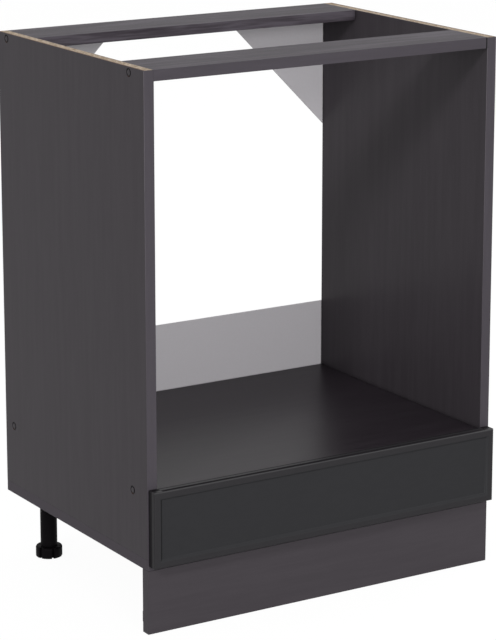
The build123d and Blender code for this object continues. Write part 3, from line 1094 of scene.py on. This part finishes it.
def nails():
    head, shank, length, dent = nail["head"], nail["shank"], nail["length"], nail["dent"]
    domeShare, domeDown = nail["dome"]
    pattern = turned("nail pattern", [
        (0.0, -nail["top"]), (head * domeShare, -domeDown), (head, -nail["rim"][0]),
        (head, -nail["rim"][1]), (shank, -nail["neck"]), (shank, -length + nail["point"]),
        (0.0, -length),
    ])
    places = [seated(Vector((x, nail["back"], z)), back, 0.0)
              for x, z in nail["strip"] + nail["braces"]]
    addPiece("hardboard_nails", copies(pattern, places, "nails"), "zinc_steel", "carcass")
    mouth = head * nail["dentMouth"]
    pattern = turned("dent pattern", [
        (0.0, -dent), (head * nail["dentFloor"], -dent), (mouth, 0.0),
        (mouth, nail["dentAbove"]), (0.0, nail["dentAbove"]),
    ])
    dents = bpy.data.objects.new("nail_dents", copies(pattern, places, "nail dents"))
    dents.hide_render = True
    bpy.context.collection.objects.link(dents)
    for name in ("back_strip", "left_corner_brace", "right_corner_brace"):
        cut = nodes[name].modifiers.new("dents", "BOOLEAN")
        cut.operation = "DIFFERENCE"
        cut.object = dents
        cut.solver = "EXACT"


nails()
print("nails driven")


# Screw feet: six rounded lobes under a threaded stem
foot = {
    "radius": 0.0205,
    "height": 0.017,
    "lobes": 6,
    "notchDepth": 0.005,
    # each notch between two lobes: degrees from its middle, and the share of its depth
    "notch": [(-7.2, 0.0), (-5.8, 0.1), (-4.9, 0.42), (-4.2, 0.85), (-2.4, 1.0), (0.0, 1.0),
              (2.4, 1.0), (4.2, 0.85), (4.9, 0.42), (5.8, 0.1), (7.2, 0.0)],
    "between": [11.0, 17.0, 23.5, 30.0, 36.5, 43.0, 49.0],
    # the hollow under the foot: radius and height
    "hollow": [(0.0112, 0.002), (0.0118, 0.0003), (0.0124, 0.0)],
    # its lower and upper arris: the share of its radius, and how far in from its two ends
    "lowerArris": [(0.93, 0.0), (0.98, 0.0005), (1.0, 0.0015)],
    "upperArris": [(1.0, 0.0022), (0.985, 0.0011), (0.945, 0.0003), (0.9, 0.0)],
    "core": 0.0094,
    "coreFillet": 0.0006,
    "coreChamfer": 0.001,
    "crest": 0.0107,
    "pitch": 0.003,
    "threadFrom": 0.0025,
    "threadTo": 0.0015,
    "threadSteps": 28,
    "stemTop": 0.057,
    "turn": math.radians(9),
}


def footMesh():
    spots = []
    apart = 360 // foot["lobes"]
    for k in range(foot["lobes"]):
        middle = apart * k + apart // 2
        spots += [(middle + angle, depth) for angle, depth in foot["notch"]]
        spots += [(middle + angle, 0.0) for angle in foot["between"]]

    def outline(radii, height):
        return [(r * math.cos(math.radians(a)), r * math.sin(math.radians(a)), height)
                for r, (a, depth) in zip(radii, spots)]

    def lobed(share, height):
        radius = foot["radius"] * share
        return outline([radius - foot["notchDepth"] * depth for angle, depth in spots], height)

    def ring(radius, height):
        return outline([radius] * len(spots), height)

    top = foot["height"]
    stem = foot["stemTop"]
    core = foot["core"]
    hollow = foot["hollow"]
    loops = [[(0.0, 0.0, hollow[0][1])]] + [ring(radius, height) for radius, height in hollow]
    loops += [lobed(share, height) for share, height in foot["lowerArris"]]
    loops += [lobed(share, top - fall) for share, fall in foot["upperArris"]]
    loops += [
        ring(core + foot["coreFillet"], top), ring(core, top + foot["coreFillet"]),
        ring(core, stem - foot["coreChamfer"]), ring(core - foot["coreChamfer"], stem),
        [(0.0, 0.0, stem)],
    ]
    bm = bmesh.new()
    skin(bm, loops)
    thread(bm, core, foot["crest"], foot["pitch"], top + foot["threadFrom"],
           stem - foot["threadTo"], foot["threadSteps"])
    return tidyMesh(bm, "screw foot")


footShape = footMesh()
for name, (x, y) in legs.items():
    turn = Matrix.Rotation(math.copysign(foot["turn"], x), 4, "Z")
    addPiece(name + "_lobed_foot", footShape, "leg_plastic", name + "_foot",
             [name + "_screw_foot"], place=Matrix.Translation((x, y, 0.0)) @ turn)
print("feet made")


# Floor, backdrop and light
studio = {
    "floorSize": 60.0,
    "floorDrop": 0.0005,
    "floorColour": (0.5, 0.5, 0.5, 1.0),
    "floorWhite": 0.9,
    "floorGlow": 1.07,
    "skyToObject": 0.55,
    "lampsAim": (0.0, 0.0, 0.4),
}
lamps = {
    "front lamp": {"place": (-0.9, -4.8, 1.4), "size": 2.4, "power": 128.0},
    "side lamp": {"place": (-4.2, -2.7, 3.2), "size": 0.8, "power": 90.0},
    "right lamp": {"place": (4.6, 0.8, 2.6), "size": 2.0, "power": 110.0},
}


def studioFloor():
    # matt under the object's light, and nearly white where it is seen
    paint = Paint("studio floor")
    matt = paint.node("ShaderNodeBsdfDiffuse", inputs={"Color": studio["floorColour"]})
    glow = paint.node("ShaderNodeEmission", inputs={
        "Color": white, "Strength": studio["floorGlow"]})
    shown = paint.backdropSeen() * studio["floorWhite"]
    both = paint.node("ShaderNodeMixShader", inputs={0: shown, 1: matt, 2: glow})
    paint.node("ShaderNodeOutputMaterial", inputs={"Surface": both})
    bm = bmesh.new()
    bmesh.ops.create_grid(bm, x_segments=1, y_segments=1, size=studio["floorSize"] / 2)
    mesh = bpy.data.meshes.new("floor")
    bm.to_mesh(mesh)
    bm.free()
    mesh.materials.append(paint.holder)
    floor = bpy.data.objects.new("floor", mesh)
    floor.location.z = -studio["floorDrop"]
    bpy.context.collection.objects.link(floor)


def sky():
    # white where it is seen, and weaker as light on the object
    world = bpy.data.worlds.new("sky")
    paint = Paint("sky", world)
    level = studio["skyToObject"] + (1 - studio["skyToObject"]) * paint.backdropSeen()
    glow = paint.node("ShaderNodeBackground", inputs={"Color": white, "Strength": level})
    paint.node("ShaderNodeOutputWorld", inputs={"Surface": glow})
    bpy.context.scene.world = world


def lamp(name):
    look = lamps[name]
    light = bpy.data.lights.new(name, "AREA")
    light.shape = "SQUARE"
    light.size = look["size"]
    light.energy = look["power"]
    stand = bpy.data.objects.new(name, light)
    stand.location = look["place"]
    aim = Vector(studio["lampsAim"]) - Vector(look["place"])
    stand.rotation_euler = aim.to_track_quat("-Z", "Y").to_euler()
    bpy.context.collection.objects.link(stand)


studioFloor()
sky()
for name in lamps:
    lamp(name)
bpy.context.scene.view_settings.view_transform = "Standard"
print("studio ready")


# The camera: front left, a little above, with a long lens
view = {
    "place": (-2.07928, -3.34393, 1.39677),
    "turn": 0.5563,
    "down": 0.2233,
    "lens": 150.13,
    "sensor": 36.0,
    "shiftY": -0.125,
    "farEnd": 200.0,
}


def camera():
    data = bpy.data.cameras.new("camera")
    data.lens = view["lens"]
    data.sensor_width = view["sensor"]
    data.shift_y = view["shiftY"]
    data.clip_end = view["farEnd"]
    stand = bpy.data.objects.new("camera", data)
    stand.location = view["place"]
    stand.rotation_euler = (math.pi / 2 - view["down"], 0.0, -view["turn"])
    bpy.context.collection.objects.link(stand)
    bpy.context.scene.camera = stand


camera()
print("camera set")
